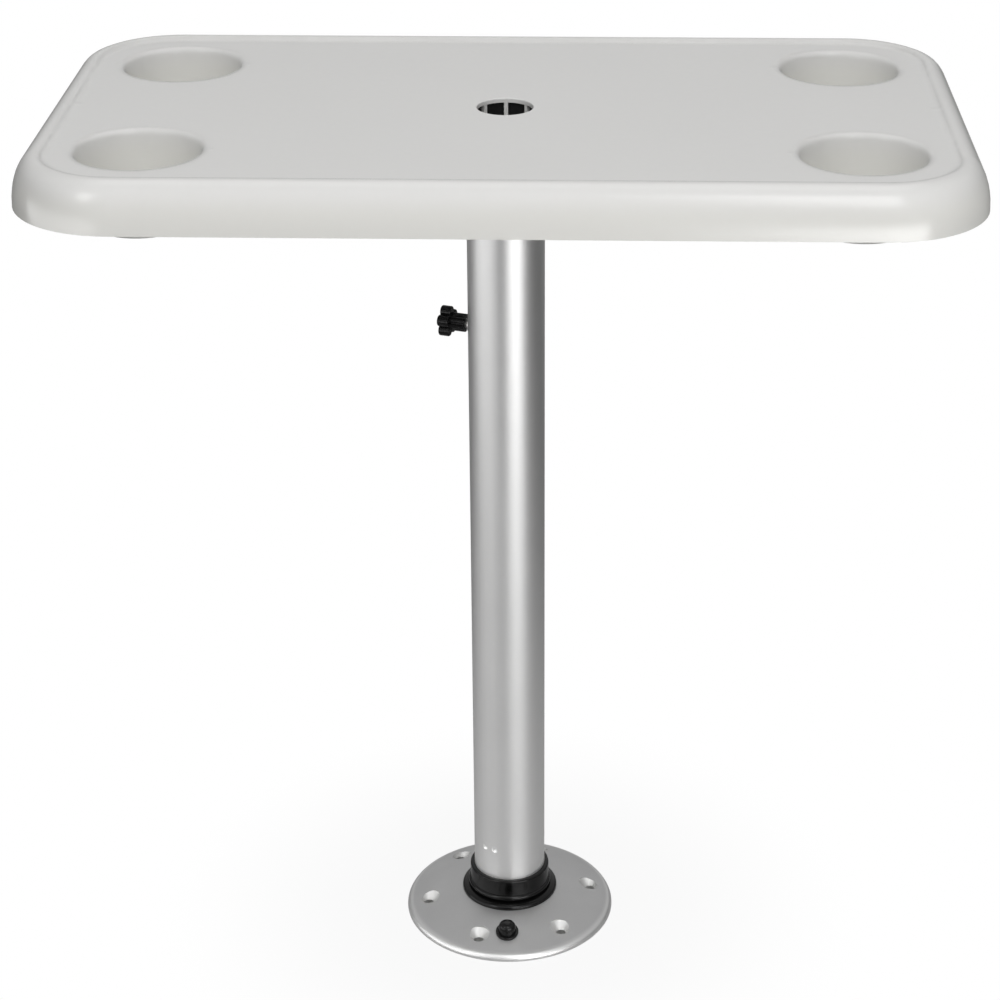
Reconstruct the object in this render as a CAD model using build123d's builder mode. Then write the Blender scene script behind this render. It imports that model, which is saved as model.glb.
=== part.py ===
"""Single pole camper table: a moulded top with cup wells on an aluminium post, locked in a round floor base.

Millimetres. The origin is the centre of the base on the floor, +Z is up, X runs along the top.
"""
import os
from math import atan, cos, radians, sin, sqrt

from build123d import *

os.makedirs("parts", exist_ok=True)

# Fits
running_clearance = 0.08
press_clearance = 0.02
seat_clearance = 0.3

# Moulded table top
top_length = 698.0
top_depth = 399.0
top_corner_radius = 80.0
table_height = 722.0
skirt_height = 36.5
edge_roll = 18.7
rim_slope = 7.0
rim_slope_ease = 0.85
rim_under_ease = 0.35
field_drop = 3.0
skin = 3.5

# Cup wells in the corners of the top
well_spacing_x = 519.0
well_spacing_y = 215.0
well_radius = 46.5
well_floor_radius = 39.0
well_depth = 52.0
well_rim_round = 3.5
well_floor_round = 7.0

# Umbrella hole and the ribbed hub under it
umbrella_hole_radius = 21.25
umbrella_hole_round = 1.0
rib = 3.0
rib_setback = 0.4
hub_radius = 82.0
hub_depth = 20.5
long_rib_depth = 12.0
rib_end_inset = 10.5
boss_radius = 7.0

# Bracket between the top and the post
bracket_radius = 75.0
bracket_plate = 5.0
bracket_bore_radius = 24.0
key_ring_wall = 5.0
key_slot_clearance = 0.4
socket_wall = 5.0
socket_length = 45.0
gusset = 4.0
gusset_depth = 26.0
gusset_count = 8
bracket_screw_radius = 2.5
bracket_screw_reach = 62.0
bracket_screw_count = 4
bracket_screw_bite = 14.0
bracket_screw_head_radius = 5.2
bracket_screw_head = 3.4
set_screw_radius = 3.0
set_screw_length = 6.0
set_screw_rise = 11.0
set_screw_angles = (45.0, 135.0)

# Post tube, with punched stakes that hold its foot
post_radius = 30.16
post_wall = 2.4
stake_height = 71.4
stake_angles = (-131.0, -113.0)
stake_sets = 3
stake_ball_radius = 4.2
stake_depth = 1.1

# Clamp screw for an umbrella pole
clamp_height = 539.3
clamp_angle = 162.0
clamp_pitch = 1.25
clamp_stud_radius = 3.92
clamp_nut_radius = 5.4
clamp_nut_flange_radius = 6.5
clamp_nut_flange = 1.2
clamp_nut_length = 9.2
pad_radius = 3.4
pad_length = 4.2
pad_pin_radius = 1.95
pad_pin_length = 2.8
pad_reach = 20.5
knob_gap = 3.0
knob_hub_radius = 7.2
knob_hub_length = 11.5
knob_flute_radius = 1.1
knob_flute_count = 9
knob_lobe_radius = 4.6
knob_lobe_reach = 7.8
knob_lobe_count = 5
knob_thickness = 9.0
knob_edge_round = 1.3
knob_cap_radius = 6.0
knob_cap = 0.8
knob_stud_bite = 12.0

# Foot of the post: collar outside the tube, plug inside it, skirt below it
collar_radius = 33.8
collar_bead_radius = 35.6
collar_height = 20.2
collar_bead_height = 5.6
collar_round = 1.6
foot_web = 3.3
plug_top = 95.0
plug_roof = 4.0
skirt_radius = 30.0
groove_depth = 2.8

# Floor base
base_radius = 88.9
rim_height = 4.4
rim_round = 5.4
hub_seat_radius = 41.0
hub_seat_height = 18.2
bolt_inset = 18.1
bolt_circle_radius = base_radius - bolt_inset
dome_height_at_bolts = 11.0
casting_wall = 3.3
rim_wall = 8.5
hub_wall = 5.0
bolt_hole_radius = 4.0
bolt_countersink_radius = 9.5
bolt_countersink_lift = 1.3
bolt_boss_radius = 10.6
bolt_count = 6
bolt_start_angle = 10.0

# Spigot, bush and bottom plate of the base
spigot_radius = 24.0
spigot_core_radius = 13.0
spigot_top = 84.0
spigot_lead = 3.0
ring_radius = 40.65
ring_thickness = 4.5
ring_flat_radius = 35.5
ring_crown = 3.1
bush_wall = 3.0
plate_thickness = 2.6
plate_floor_gap = 0.3
plate_radius = 52.0
plate_tongue_width = 26.0
plate_screw_radius = 2.0
plate_screw_head_radius = 3.8
plate_screw_reach = 45.0
plate_screw_bite = 7.0
plate_screw_count = 4
spigot_screw_reach = 18.5

# Push button and the latch that it draws back
button_inset = 24.9
button_distance = base_radius - button_inset
button_radius = 7.4
button_rise = 10.6
button_crown = 5.6
button_travel = 3.0
grommet_wall = 1.0
grommet_lip_radius = 9.6
grommet_lip = 2.2
latch_width = 16.0
latch_thickness = 4.0
latch_tail_web = 2.0
latch_play = 0.1
nose_height = 3.7
nose_block_length = 16.0
cam_width = 8.0
cam_thickness = 4.0
cam_overlap = 1.0
spring_radius = 2.3
spring_wire = 0.7
spring_coils = 7
spring_length = 13.0
spring_tab = 1.5
spring_tab_width = 5.0

# Levels and radii that follow from the sizes above
half_length = top_length / 2
half_depth = top_depth / 2
rim_inset = edge_roll + rim_slope
field_z = table_height - field_drop
field_under_z = field_z - skin
hub_z = field_under_z - hub_depth
bracket_under_z = hub_z - bracket_plate
socket_z = bracket_under_z - socket_length
post_bore_radius = post_radius - post_wall
ring_top_z = hub_seat_height + ring_thickness
tube_z = ring_top_z + foot_web
plate_z = plate_floor_gap + plate_thickness
latch_z = plate_z + latch_play
latch_top_z = latch_z + latch_thickness
nose_top_z = latch_top_z + button_travel
nose_z = nose_top_z - nose_height
groove_z = nose_z - seat_clearance
groove_top_z = nose_top_z + seat_clearance
skirt_z = plate_z + 2 * seat_clearance
bush_radius = skirt_radius + running_clearance
bush_outer_radius = bush_radius + bush_wall
hub_bore_radius = bush_outer_radius + press_clearance
hub_outer_radius = hub_bore_radius + hub_wall
latch_slot_half = latch_width / 2 + seat_clearance


def radial_plane(angle, height):
    """Plane through the post's axis whose normal points out from it at this angle."""
    return Plane(
        origin=(0, 0, height),
        x_dir=(0, 0, 1),
        z_dir=(cos(radians(angle)), sin(radians(angle)), 0),
    )


def upright_plane(angle):
    """Plane that holds the post's axis: x runs out from it at this angle and y runs up."""
    return Plane(
        origin=(0, 0, 0),
        x_dir=(cos(radians(angle)), sin(radians(angle)), 0),
        z_dir=(sin(radians(angle)), -cos(radians(angle)), 0),
    )


def round_edges(part, radius, height):
    """Circular edges of this radius that lie at this height."""
    return part.edges().filter_by(
        lambda edge: edge.geom_type == GeomType.CIRCLE
        and abs(edge.radius - radius) < 0.01
        and abs(edge.center().Z - height) < 0.01
    )


# One cup well: its outer shell and the hollow inside it, with a soft rim and a rounded floor
with BuildPart() as well_shell:
    with BuildSketch(Plane.XZ) as shell_section:
        with BuildLine():
            Polyline(
                (0, field_z - skin / 2),
                (well_radius + skin, field_z - skin / 2),
                (well_floor_radius + skin, field_z - well_depth - skin),
                (0, field_z - well_depth - skin),
                close=True,
            )
        make_face()
        fillet(shell_section.vertices().group_by(Axis.Y)[0].sort_by(Axis.X)[-1], well_floor_round + skin)
    revolve(axis=Axis.Z)

with BuildPart() as well_hollow:
    with BuildSketch(Plane.XZ) as hollow_section:
        with BuildLine():
            Polyline(
                (0, field_z + skin),
                (well_radius + 2 * well_rim_round, field_z + skin),
                (well_radius + 2 * well_rim_round, field_z),
                (well_radius, field_z),
                (well_floor_radius, field_z - well_depth),
                (0, field_z - well_depth),
                close=True,
            )
        make_face()
        fillet(hollow_section.vertices().group_by(Axis.Y)[1].sort_by(Axis.X)[0], well_rim_round)
        fillet(hollow_section.vertices().group_by(Axis.Y)[0].sort_by(Axis.X)[-1], well_floor_round)
    revolve(axis=Axis.Z)

# Table top: a rolled edge swept round half the outline, mirrored, and filled by the field
with BuildPart() as table_top:
    with BuildLine(Plane.XY.offset(table_height)):
        front = Line((0, -half_depth), (half_length - top_corner_radius, -half_depth))
        front_corner = JernArc(front @ 1, front % 1, top_corner_radius, 90)
        end = Line(front_corner @ 1, (half_length, half_depth - top_corner_radius))
        back_corner = JernArc(end @ 1, end % 1, top_corner_radius, 90)
        Line(back_corner @ 1, (0, half_depth))
    edge_plane = Plane(origin=(0, -half_depth, table_height), x_dir=(0, 1, 0), z_dir=(1, 0, 0))
    with BuildSketch(edge_plane):
        with BuildLine():
            roll_centre = (edge_roll, -skirt_height)
            slope_crest = edge_roll + rim_slope_ease * rim_slope
            slope_foot = rim_inset - rim_slope_ease * rim_slope
            outer_roll = EllipticalCenterArc(roll_centre, edge_roll, skirt_height, 90, arc_size=90)
            inner_roll = EllipticalCenterArc(roll_centre, edge_roll - skin, skirt_height - skin, 90, arc_size=90)
            Line(outer_roll @ 1, inner_roll @ 1)
            upper_slope = Bezier(
                outer_roll @ 0, (slope_crest, 0), (slope_foot, -field_drop), (rim_inset, -field_drop)
            )
            lower_slope = Bezier(
                inner_roll @ 0,
                (edge_roll + rim_under_ease * rim_slope, -skin),
                (edge_roll, -field_drop - skin),
                (rim_inset, -field_drop - skin),
            )
            Line(upper_slope @ 1, lower_slope @ 1)
        make_face()
    sweep()
    mirror(about=Plane.YZ)
    with BuildSketch(Plane.XY.offset(field_z)):
        RectangleRounded(
            top_length - 2 * rim_inset, top_depth - 2 * rim_inset, top_corner_radius - rim_inset
        )
    extrude(amount=-skin)

    # Ribs between the wells, cross ribs to the edge, and the ribbed hub round the umbrella hole
    with BuildSketch(Plane.XY.offset(field_under_z)):
        Rectangle(top_length - 2 * rib_end_inset, rib)
        Rectangle(rib, top_depth - 2 * rib_end_inset)
        with GridLocations(0, well_spacing_y, 1, 2):
            Rectangle(well_spacing_x, rib)
        with GridLocations(well_spacing_x, 0, 2, 1):
            Rectangle(rib, well_spacing_y)
        Circle(umbrella_hole_radius + rib_setback, mode=Mode.SUBTRACT)
    extrude(amount=-long_rib_depth)
    with BuildSketch(Plane.XY.offset(field_under_z)):
        Circle(hub_radius)
        Circle(hub_radius - rib, mode=Mode.SUBTRACT)
        with PolarLocations(0, 4, angular_range=180):
            Rectangle(2 * hub_radius - rib, rib)
        with PolarLocations(bracket_screw_reach, bracket_screw_count, start_angle=45):
            Circle(boss_radius)
        Circle(umbrella_hole_radius + rib_setback, mode=Mode.SUBTRACT)
    extrude(amount=-hub_depth)

    # Cup wells
    with GridLocations(well_spacing_x, well_spacing_y, 2, 2):
        add(well_shell.part)
        add(well_hollow.part, mode=Mode.SUBTRACT)

    # Umbrella hole through the skin, and the screw pilots
    with Locations((0, 0, field_z)):
        Hole(umbrella_hole_radius, depth=2 * skin)
    fillet(round_edges(table_top, umbrella_hole_radius, field_z), umbrella_hole_round)
    with Locations(Location((0, 0, hub_z), (180, 0, 0))):
        with PolarLocations(bracket_screw_reach, bracket_screw_count, start_angle=45):
            Hole(bracket_screw_radius + press_clearance, depth=bracket_screw_bite)
table_top.part.label = "table_top"
export_step(table_top.part, "parts/table_top.step")

# Bracket: a round plate with a socket below for the post and a slotted key ring above for the ribs
socket_radius = post_radius + press_clearance
socket_outer_radius = socket_radius + socket_wall
key_ring_radius = bracket_bore_radius + key_ring_wall
with BuildPart() as top_bracket:
    with BuildSketch(Plane.XZ):
        with BuildLine():
            Polyline(
                (bracket_bore_radius, bracket_under_z),
                (bracket_bore_radius, hub_z),
                (bracket_radius, hub_z),
                (bracket_radius, bracket_under_z),
                (socket_outer_radius, bracket_under_z),
                (socket_outer_radius, socket_z),
                (socket_radius, socket_z),
                (socket_radius, bracket_under_z),
                close=True,
            )
        make_face()
    revolve(axis=Axis.Z)
    for gusset_index in range(gusset_count):
        gusset_turn = (gusset_index + 0.5) * 360 / gusset_count
        with BuildSketch(upright_plane(gusset_turn)):
            with BuildLine():
                Polyline(
                    (socket_outer_radius - socket_wall / 2, bracket_under_z),
                    (bracket_radius - gusset, bracket_under_z),
                    (socket_outer_radius, bracket_under_z - gusset_depth),
                    (socket_outer_radius - socket_wall / 2, bracket_under_z - gusset_depth),
                    close=True,
                )
            make_face()
        extrude(amount=gusset / 2, both=True)
    with BuildSketch(Plane.XY.offset(hub_z)):
        Circle(key_ring_radius)
        Circle(bracket_bore_radius, mode=Mode.SUBTRACT)
        with PolarLocations(0, 4, angular_range=180):
            Rectangle(2 * hub_radius, rib + 2 * key_slot_clearance, mode=Mode.SUBTRACT)
    extrude(amount=hub_depth - key_slot_clearance)
    with Locations((0, 0, hub_z)):
        with PolarLocations(bracket_screw_reach, bracket_screw_count, start_angle=45):
            Hole(bracket_screw_radius + press_clearance, depth=bracket_plate)
    for set_screw_angle in set_screw_angles:
        with Locations(radial_plane(set_screw_angle, socket_z + set_screw_rise).offset(bracket_radius)):
            Hole(set_screw_radius + press_clearance, depth=bracket_radius - post_bore_radius)
top_bracket.part.label = "top_bracket"
export_step(top_bracket.part, "parts/top_bracket.step")

# Screws that hold the bracket to the bosses of the top
with BuildPart() as bracket_screws:
    with BuildSketch(Plane.XY.offset(bracket_under_z)):
        with PolarLocations(bracket_screw_reach, bracket_screw_count, start_angle=45):
            Circle(bracket_screw_head_radius)
    extrude(amount=-bracket_screw_head)
    fillet(bracket_screws.faces().sort_by(Axis.Z)[:bracket_screw_count].edges(), bracket_screw_head / 3)
    with BuildSketch(Plane.XY.offset(bracket_under_z)):
        with PolarLocations(bracket_screw_reach, bracket_screw_count, start_angle=45):
            Circle(bracket_screw_radius)
    extrude(amount=bracket_plate + bracket_screw_bite - seat_clearance)
bracket_screws.part.label = "bracket_screws"
export_step(bracket_screws.part, "parts/bracket_screws.step")

# Set screws that grip the post in the bracket's socket
with BuildPart() as set_screws:
    for set_screw_angle in set_screw_angles:
        with BuildSketch(radial_plane(set_screw_angle, socket_z + set_screw_rise).offset(socket_radius)):
            Circle(set_screw_radius)
        extrude(amount=set_screw_length)
        tip_plane = radial_plane(set_screw_angle, socket_z + set_screw_rise)
        with BuildSketch(tip_plane.offset(socket_radius + set_screw_length)):
            RegularPolygon(set_screw_radius * 0.55, 6)
        extrude(amount=-set_screw_length / 2, mode=Mode.SUBTRACT)
set_screws.part.label = "set_screws"
export_step(set_screws.part, "parts/set_screws.step")

# Post tube, with a spot-faced hole for the clamp nut and punched stakes above the foot's collar
clamp_plane = radial_plane(clamp_angle, clamp_height)
nut_seat = sqrt(post_radius**2 - clamp_nut_flange_radius**2)
with BuildPart() as post_tube:
    with BuildSketch(Plane.XY.offset(tube_z)):
        Circle(post_radius)
        Circle(post_bore_radius, mode=Mode.SUBTRACT)
    extrude(amount=bracket_under_z - tube_z)
    with BuildSketch(clamp_plane.offset(nut_seat)):
        Circle(clamp_nut_flange_radius + seat_clearance)
    extrude(amount=post_wall, mode=Mode.SUBTRACT)
    with BuildSketch(clamp_plane.offset(nut_seat)):
        Circle(clamp_nut_radius + press_clearance)
    extrude(amount=-2 * post_wall, mode=Mode.SUBTRACT)
    stake_centre = post_radius + stake_ball_radius - stake_depth
    for stake_set in range(stake_sets):
        for stake_angle in stake_angles:
            stake_turn = radians(stake_angle + stake_set * 360 / stake_sets)
            with Locations((stake_centre * cos(stake_turn), stake_centre * sin(stake_turn), stake_height)):
                Sphere(stake_ball_radius, mode=Mode.SUBTRACT)
post_tube.part.label = "post_tube"
export_step(post_tube.part, "parts/post_tube.step")

# Threaded nut set in the tube's wall
with BuildPart() as clamp_nut:
    with BuildSketch(clamp_plane.offset(nut_seat)):
        Circle(clamp_nut_flange_radius)
    extrude(amount=clamp_nut_flange)
    with BuildSketch(clamp_plane.offset(nut_seat)):
        Circle(clamp_nut_radius)
    extrude(amount=clamp_nut_flange - clamp_nut_length)
    with BuildSketch(clamp_plane.offset(nut_seat + clamp_nut_flange)):
        Circle(clamp_stud_radius + running_clearance)
    extrude(amount=-clamp_nut_length, mode=Mode.SUBTRACT)
clamp_nut.part.label = "clamp_nut"
export_step(clamp_nut.part, "parts/clamp_nut.step")

# Clamp stud with a pin end, the pad that turns on the pin, and the lobed knob moulded on the stud
stud_tip = pad_reach + pad_length
knob_foot = nut_seat + clamp_nut_flange + knob_gap
knob_back = knob_foot + knob_hub_length
knob_end = knob_back + knob_thickness
with BuildPart() as clamp_stud:
    with BuildSketch(clamp_plane.offset(stud_tip + running_clearance)):
        Circle(clamp_stud_radius)
    extrude(amount=knob_foot + knob_stud_bite - stud_tip - running_clearance)
    with BuildSketch(clamp_plane.offset(stud_tip + running_clearance)):
        Circle(pad_pin_radius)
    extrude(amount=-pad_pin_length)
clamp_stud.part.label = "clamp_stud"
export_step(clamp_stud.part, "parts/clamp_stud.step")

with BuildPart() as clamp_pad:
    with BuildSketch(clamp_plane.offset(pad_reach)):
        Circle(pad_radius)
    extrude(amount=pad_length)
    with BuildSketch(clamp_plane.offset(stud_tip)):
        Circle(pad_pin_radius + running_clearance)
    extrude(amount=-pad_pin_length, mode=Mode.SUBTRACT)
clamp_pad.part.label = "clamp_pad"
export_step(clamp_pad.part, "parts/clamp_pad.step")

with BuildPart() as clamp_knob:
    with BuildSketch(clamp_plane.offset(knob_back)):
        Circle(knob_lobe_reach)
        with PolarLocations(knob_lobe_reach, knob_lobe_count):
            Circle(knob_lobe_radius)
    extrude(amount=knob_thickness)
    knob_faces = clamp_knob.faces().sort_by(Axis(clamp_plane.origin, clamp_plane.z_dir))
    fillet(knob_faces[-1].edges() + knob_faces[0].edges(), knob_edge_round)
    with BuildSketch(clamp_plane.offset(knob_end)):
        Circle(knob_cap_radius)
    extrude(amount=knob_cap, taper=45)
    with BuildSketch(clamp_plane.offset(knob_foot)):
        Circle(knob_hub_radius)
        with PolarLocations(knob_hub_radius, knob_flute_count):
            Circle(knob_flute_radius, mode=Mode.SUBTRACT)
    extrude(amount=knob_hub_length + knob_thickness / 2)
    with BuildSketch(clamp_plane.offset(knob_foot)):
        Circle(clamp_stud_radius + press_clearance)
    extrude(amount=knob_stud_bite, mode=Mode.SUBTRACT)
clamp_knob.part.label = "clamp_knob"
export_step(clamp_knob.part, "parts/clamp_knob.step")

# Foot of the post: turned about the axis, with a slot for the tube's end and a groove for the latch
collar_top_z = ring_top_z + collar_height
bead_z = ring_top_z + collar_bead_height
foot_bore_radius = spigot_radius + running_clearance
tube_slot_radius = post_radius + press_clearance
plug_radius = post_bore_radius - press_clearance
with BuildPart() as foot_bush:
    with BuildSketch(Plane.XZ):
        with BuildLine():
            Polyline(
                (collar_radius - collar_round, collar_top_z),
                (tube_slot_radius, collar_top_z),
                (tube_slot_radius, tube_z),
                (plug_radius, tube_z),
                (plug_radius, plug_top),
                (0, plug_top),
                (0, plug_top - plug_roof),
                (foot_bore_radius, plug_top - plug_roof),
                (foot_bore_radius, skirt_z),
                (skirt_radius, skirt_z),
                (skirt_radius, groove_z),
                (skirt_radius - groove_depth, groove_z),
                (skirt_radius - groove_depth, groove_top_z),
                (skirt_radius, groove_top_z),
                (skirt_radius, ring_top_z),
                (collar_radius, ring_top_z),
            )
            bead = ThreePointArc(
                (collar_radius, ring_top_z),
                (collar_bead_radius, (ring_top_z + bead_z) / 2),
                (collar_radius, bead_z),
            )
            Line(bead @ 1, (collar_radius, collar_top_z - collar_round))
            RadiusArc(
                (collar_radius, collar_top_z - collar_round),
                (collar_radius - collar_round, collar_top_z),
                -collar_round,
            )
        make_face()
    revolve(axis=Axis.Z)
foot_bush.part.label = "foot_bush"
export_step(foot_bush.part, "parts/foot_bush.step")

# Blank of the base casting: a low dome that the holes and the hollow underside are cut from
with BuildPart() as base_dome:
    with BuildSketch(Plane.XZ):
        with BuildLine():
            ThreePointArc(
                (hub_seat_radius, hub_seat_height),
                (bolt_circle_radius, dome_height_at_bolts),
                (base_radius, rim_height),
            )
            Polyline(
                (base_radius, rim_height),
                (base_radius, 0),
                (hub_bore_radius, 0),
                (hub_bore_radius, hub_seat_height),
                (hub_seat_radius, hub_seat_height),
            )
        make_face()
    revolve(axis=Axis.Z)
    fillet(round_edges(base_dome, base_radius, rim_height), rim_round)

# Hollow of the casting, left out round the screw bosses and the latch's two guide rails
with BuildPart() as base_hollow:
    with BuildSketch(Plane.XZ):
        with BuildLine():
            ThreePointArc(
                (hub_outer_radius, hub_seat_height - casting_wall),
                (bolt_circle_radius, dome_height_at_bolts - casting_wall),
                (base_radius - rim_wall, rim_height),
            )
            Polyline(
                (base_radius - rim_wall, rim_height),
                (base_radius - rim_wall, 0),
                (hub_outer_radius, 0),
                (hub_outer_radius, hub_seat_height - casting_wall),
            )
        make_face()
    revolve(axis=Axis.Z)
    with BuildSketch():
        with PolarLocations(bolt_circle_radius, bolt_count, start_angle=bolt_start_angle):
            Circle(bolt_boss_radius)
        with PolarLocations(plate_screw_reach, plate_screw_count, start_angle=45):
            Circle(2 * plate_screw_head_radius - plate_screw_radius)
        with GridLocations(2 * latch_slot_half + rib, 0, 2, 1):
            Rectangle(rib, 2 * base_radius, align=(Align.CENTER, Align.MAX))
    extrude(amount=hub_seat_height, mode=Mode.SUBTRACT)

# Bottom plate's outline: a disc with a tongue under the latch
tongue_reach = button_distance + cam_thickness + 2 * latch_tail_web
with BuildSketch() as plate_outline:
    Circle(plate_radius)
    Rectangle(plate_tongue_width, tongue_reach, align=(Align.CENTER, Align.MAX))

# Base casting
button_bore_radius = button_radius + running_clearance
grommet_radius = button_bore_radius + grommet_wall
dome_arc_slope = atan((dome_height_at_bolts - hub_seat_height) / (bolt_circle_radius - hub_seat_radius))
with BuildPart() as base_flange:
    add(base_dome.part)
    add(base_hollow.part, mode=Mode.SUBTRACT)
    with BuildSketch():
        add(plate_outline.sketch)
        offset(amount=seat_clearance)
    extrude(amount=plate_z, mode=Mode.SUBTRACT)
    with Locations((0, 0, dome_height_at_bolts + bolt_countersink_lift)):
        with PolarLocations(bolt_circle_radius, bolt_count, start_angle=bolt_start_angle):
            CounterSinkHole(bolt_hole_radius, bolt_countersink_radius, depth=2 * dome_height_at_bolts)
    with Locations((0, -button_distance, hub_seat_height)):
        Hole(grommet_radius + press_clearance, depth=hub_seat_height - latch_top_z)
    with BuildSketch(Plane.XY.offset(plate_z)):
        Rectangle(2 * latch_slot_half, hub_outer_radius + rib, align=(Align.CENTER, Align.MAX))
    extrude(amount=nose_top_z + seat_clearance - plate_z, mode=Mode.SUBTRACT)
    with Locations(Location((0, 0, plate_z), (180, 0, 0))):
        with PolarLocations(plate_screw_reach, plate_screw_count, start_angle=45):
            Hole(plate_screw_radius + press_clearance, depth=plate_screw_bite)
base_flange.part.label = "base_flange"
export_step(base_flange.part, "parts/base_flange.step")

# Black bush of the base: a ring under the collar and a sleeve inside the casting's hub
with BuildPart() as bearing_ring:
    with BuildSketch(Plane.XZ):
        with BuildLine():
            ring_centre = (ring_flat_radius, ring_top_z - ring_crown)
            crown = EllipticalCenterArc(ring_centre, ring_radius - ring_flat_radius, ring_crown, 0, arc_size=90)
            Polyline(
                crown @ 1,
                (bush_radius, ring_top_z),
                (bush_radius, plate_z),
                (bush_outer_radius, plate_z),
                (bush_outer_radius, hub_seat_height),
                (ring_radius, hub_seat_height),
                crown @ 0,
            )
        make_face()
    revolve(axis=Axis.Z)
    with BuildSketch(Plane.XY.offset(plate_z)):
        Rectangle(2 * latch_slot_half, hub_outer_radius, align=(Align.CENTER, Align.MAX))
    extrude(amount=nose_top_z + seat_clearance - plate_z, mode=Mode.SUBTRACT)
bearing_ring.part.label = "bearing_ring"
export_step(bearing_ring.part, "parts/bearing_ring.step")

# Spigot that the foot of the post slides down over
with BuildPart() as base_spigot:
    with BuildSketch(Plane.XY.offset(plate_z)):
        Circle(spigot_radius)
        Circle(spigot_core_radius, mode=Mode.SUBTRACT)
    extrude(amount=spigot_top - plate_z)
    chamfer(round_edges(base_spigot, spigot_radius, spigot_top), spigot_lead)
    with Locations(Location((0, 0, plate_z), (180, 0, 0))):
        with PolarLocations(spigot_screw_reach, plate_screw_count, start_angle=45):
            Hole(plate_screw_radius + press_clearance, depth=plate_screw_bite)
base_spigot.part.label = "base_spigot"
export_step(base_spigot.part, "parts/base_spigot.step")

# Steel bottom plate, with a tab that the latch spring pushes against
latch_back_face = -hub_outer_radius - seat_clearance
spring_seat_y = latch_back_face - spring_length
with BuildPart() as bottom_plate:
    with BuildSketch(Plane.XY.offset(plate_floor_gap)):
        add(plate_outline.sketch)
    extrude(amount=plate_thickness)
    with Locations((0, spring_seat_y - spring_tab / 2, plate_z)):
        Box(
            spring_tab_width,
            spring_tab,
            latch_thickness + latch_play,
            align=(Align.CENTER, Align.CENTER, Align.MIN),
        )
    with Locations(Location((0, 0, plate_floor_gap), (180, 0, 0))):
        with PolarLocations(plate_screw_reach, plate_screw_count, start_angle=45):
            CounterSinkHole(plate_screw_radius + press_clearance, plate_screw_head_radius, plate_thickness, 90)
        with PolarLocations(spigot_screw_reach, plate_screw_count, start_angle=45):
            CounterSinkHole(plate_screw_radius + press_clearance, plate_screw_head_radius, plate_thickness, 90)
bottom_plate.part.label = "bottom_plate"
export_step(bottom_plate.part, "parts/bottom_plate.step")


def countersunk_screws(circle):
    """Countersunk screws driven up through the bottom plate on this circle."""
    head = plate_screw_head_radius - plate_screw_radius
    with BuildPart() as screws:
        with BuildSketch(Plane.XZ) as shape:
            with BuildLine():
                Polyline(
                    (0, plate_floor_gap),
                    (plate_screw_head_radius - press_clearance, plate_floor_gap),
                    (plate_screw_radius, plate_floor_gap + head - press_clearance),
                    (plate_screw_radius, plate_z + plate_screw_bite - seat_clearance),
                    (0, plate_z + plate_screw_bite - seat_clearance),
                    close=True,
                )
            make_face()
        one = revolve(axis=Axis.Z, mode=Mode.PRIVATE)
        with PolarLocations(circle, plate_screw_count, start_angle=45):
            add(one)
    return screws.part


plate_screws = countersunk_screws(plate_screw_reach)
plate_screws.label = "plate_screws"
export_step(plate_screws, "parts/plate_screws.step")

spigot_screws = countersunk_screws(spigot_screw_reach)
spigot_screws.label = "spigot_screws"
export_step(spigot_screws, "parts/spigot_screws.step")

# Latch: a sliding plate with a raised nose for the foot's groove, a spring window and a sloped cam window
nose_radius = skirt_radius - groove_depth + seat_clearance
cam_rest_z = latch_top_z - cam_overlap
cam_line = -button_distance + latch_top_z + button_travel - cam_thickness / 2
latch_tail = -button_distance - cam_thickness / 2 - latch_tail_web
with BuildPart() as lock_latch:
    with BuildSketch(Plane.XY.offset(latch_z)):
        with Locations((0, latch_tail)):
            Rectangle(latch_width, -bush_radius - seat_clearance - latch_tail, align=(Align.CENTER, Align.MIN))
    extrude(amount=latch_thickness)
    with BuildSketch(Plane.XY.offset(nose_z)):
        with Locations((0, -bush_radius - nose_block_length)):
            Rectangle(latch_width, bush_radius + nose_block_length, align=(Align.CENTER, Align.MIN))
        Circle(nose_radius, mode=Mode.SUBTRACT)
    extrude(amount=nose_height)
    with BuildSketch(Plane.XY.offset(latch_z)):
        with Locations((0, spring_seat_y - spring_tab - seat_clearance)):
            Rectangle(
                spring_tab_width + 2 * seat_clearance,
                spring_length + spring_tab + seat_clearance,
                align=(Align.CENTER, Align.MIN),
            )
    extrude(amount=nose_top_z - latch_z, mode=Mode.SUBTRACT)
    with BuildSketch(Plane.YZ):
        with BuildLine():
            Polyline(
                (cam_line - latch_z - cam_thickness / 2 - latch_play, latch_z),
                (cam_line - latch_z + cam_thickness / 2 + latch_play, latch_z),
                (cam_line - latch_top_z + cam_thickness / 2 + latch_play, latch_top_z),
                (cam_line - latch_top_z - cam_thickness / 2 - latch_play, latch_top_z),
                close=True,
            )
        make_face()
    extrude(amount=cam_width / 2 + seat_clearance, both=True, mode=Mode.SUBTRACT)
lock_latch.part.label = "lock_latch"
export_step(lock_latch.part, "parts/lock_latch.step")

# Spring that pushes the latch into the groove
spring_axis_z = latch_z + spring_radius
with BuildPart() as latch_spring:
    with BuildLine() as spring_path:
        Helix(
            (spring_length - spring_wire) / spring_coils,
            spring_length - spring_wire,
            spring_radius - spring_wire / 2,
            center=(0, spring_seat_y + spring_wire / 2, spring_axis_z),
            direction=(0, 1, 0),
        )
    with BuildSketch(Plane(spring_path.line @ 0, z_dir=spring_path.line % 0)):
        Circle(spring_wire / 2)
    sweep(path=spring_path.line, is_frenet=True)
latch_spring.part.label = "latch_spring"
export_step(latch_spring.part, "parts/latch_spring.step")

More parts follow.
